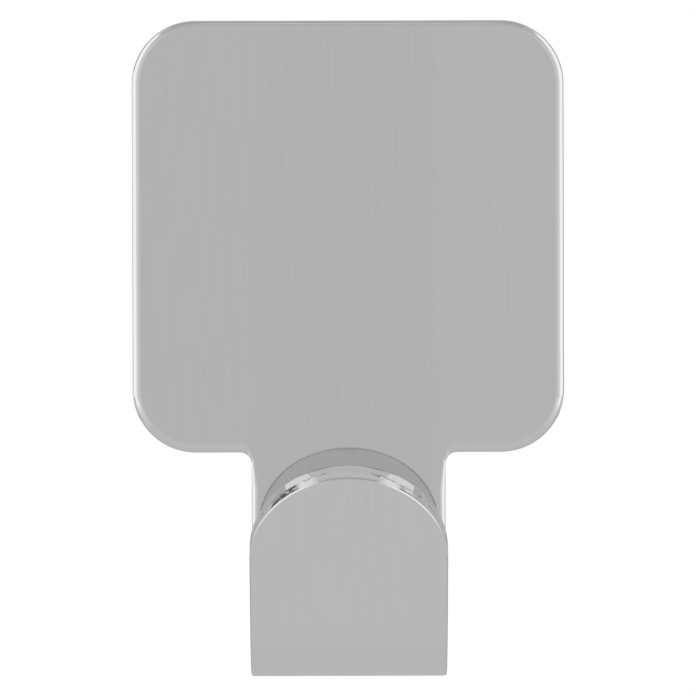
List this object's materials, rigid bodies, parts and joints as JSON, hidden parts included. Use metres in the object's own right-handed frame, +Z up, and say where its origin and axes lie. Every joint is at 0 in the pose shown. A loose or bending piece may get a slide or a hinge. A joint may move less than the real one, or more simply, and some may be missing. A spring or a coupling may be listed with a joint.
{
  "type": "towel hook",
  "caption": "Self-adhesive towel hook: a rounded square steel plate whose tab bends up into a leaning, round-ended flap, with a foam pad behind.",
  "frame": {"origin": "the middle of the adhesive pad's back face, which lies on the wall; the wall is the plane y = 0", "axes": "+Z up the wall, +X to the viewer's right, +Y into the wall; the hook stands in front of the wall, towards -Y"},
  "size_m": [0.045, 0.0288, 0.0678],
  "materials": {
    "polished_stainless": "stainless sheet polished to a mirror, with a very faint upright grain; the punched edge is polished too, with a few rough specks",
    "grey_foam": "matt closed-cell acrylic foam, tacky on both faces"
  },
  "bodies": {
    "root": {"hook_body": "polished_stainless", "adhesive_pad": "grey_foam"}
  },
  "joints": []
}
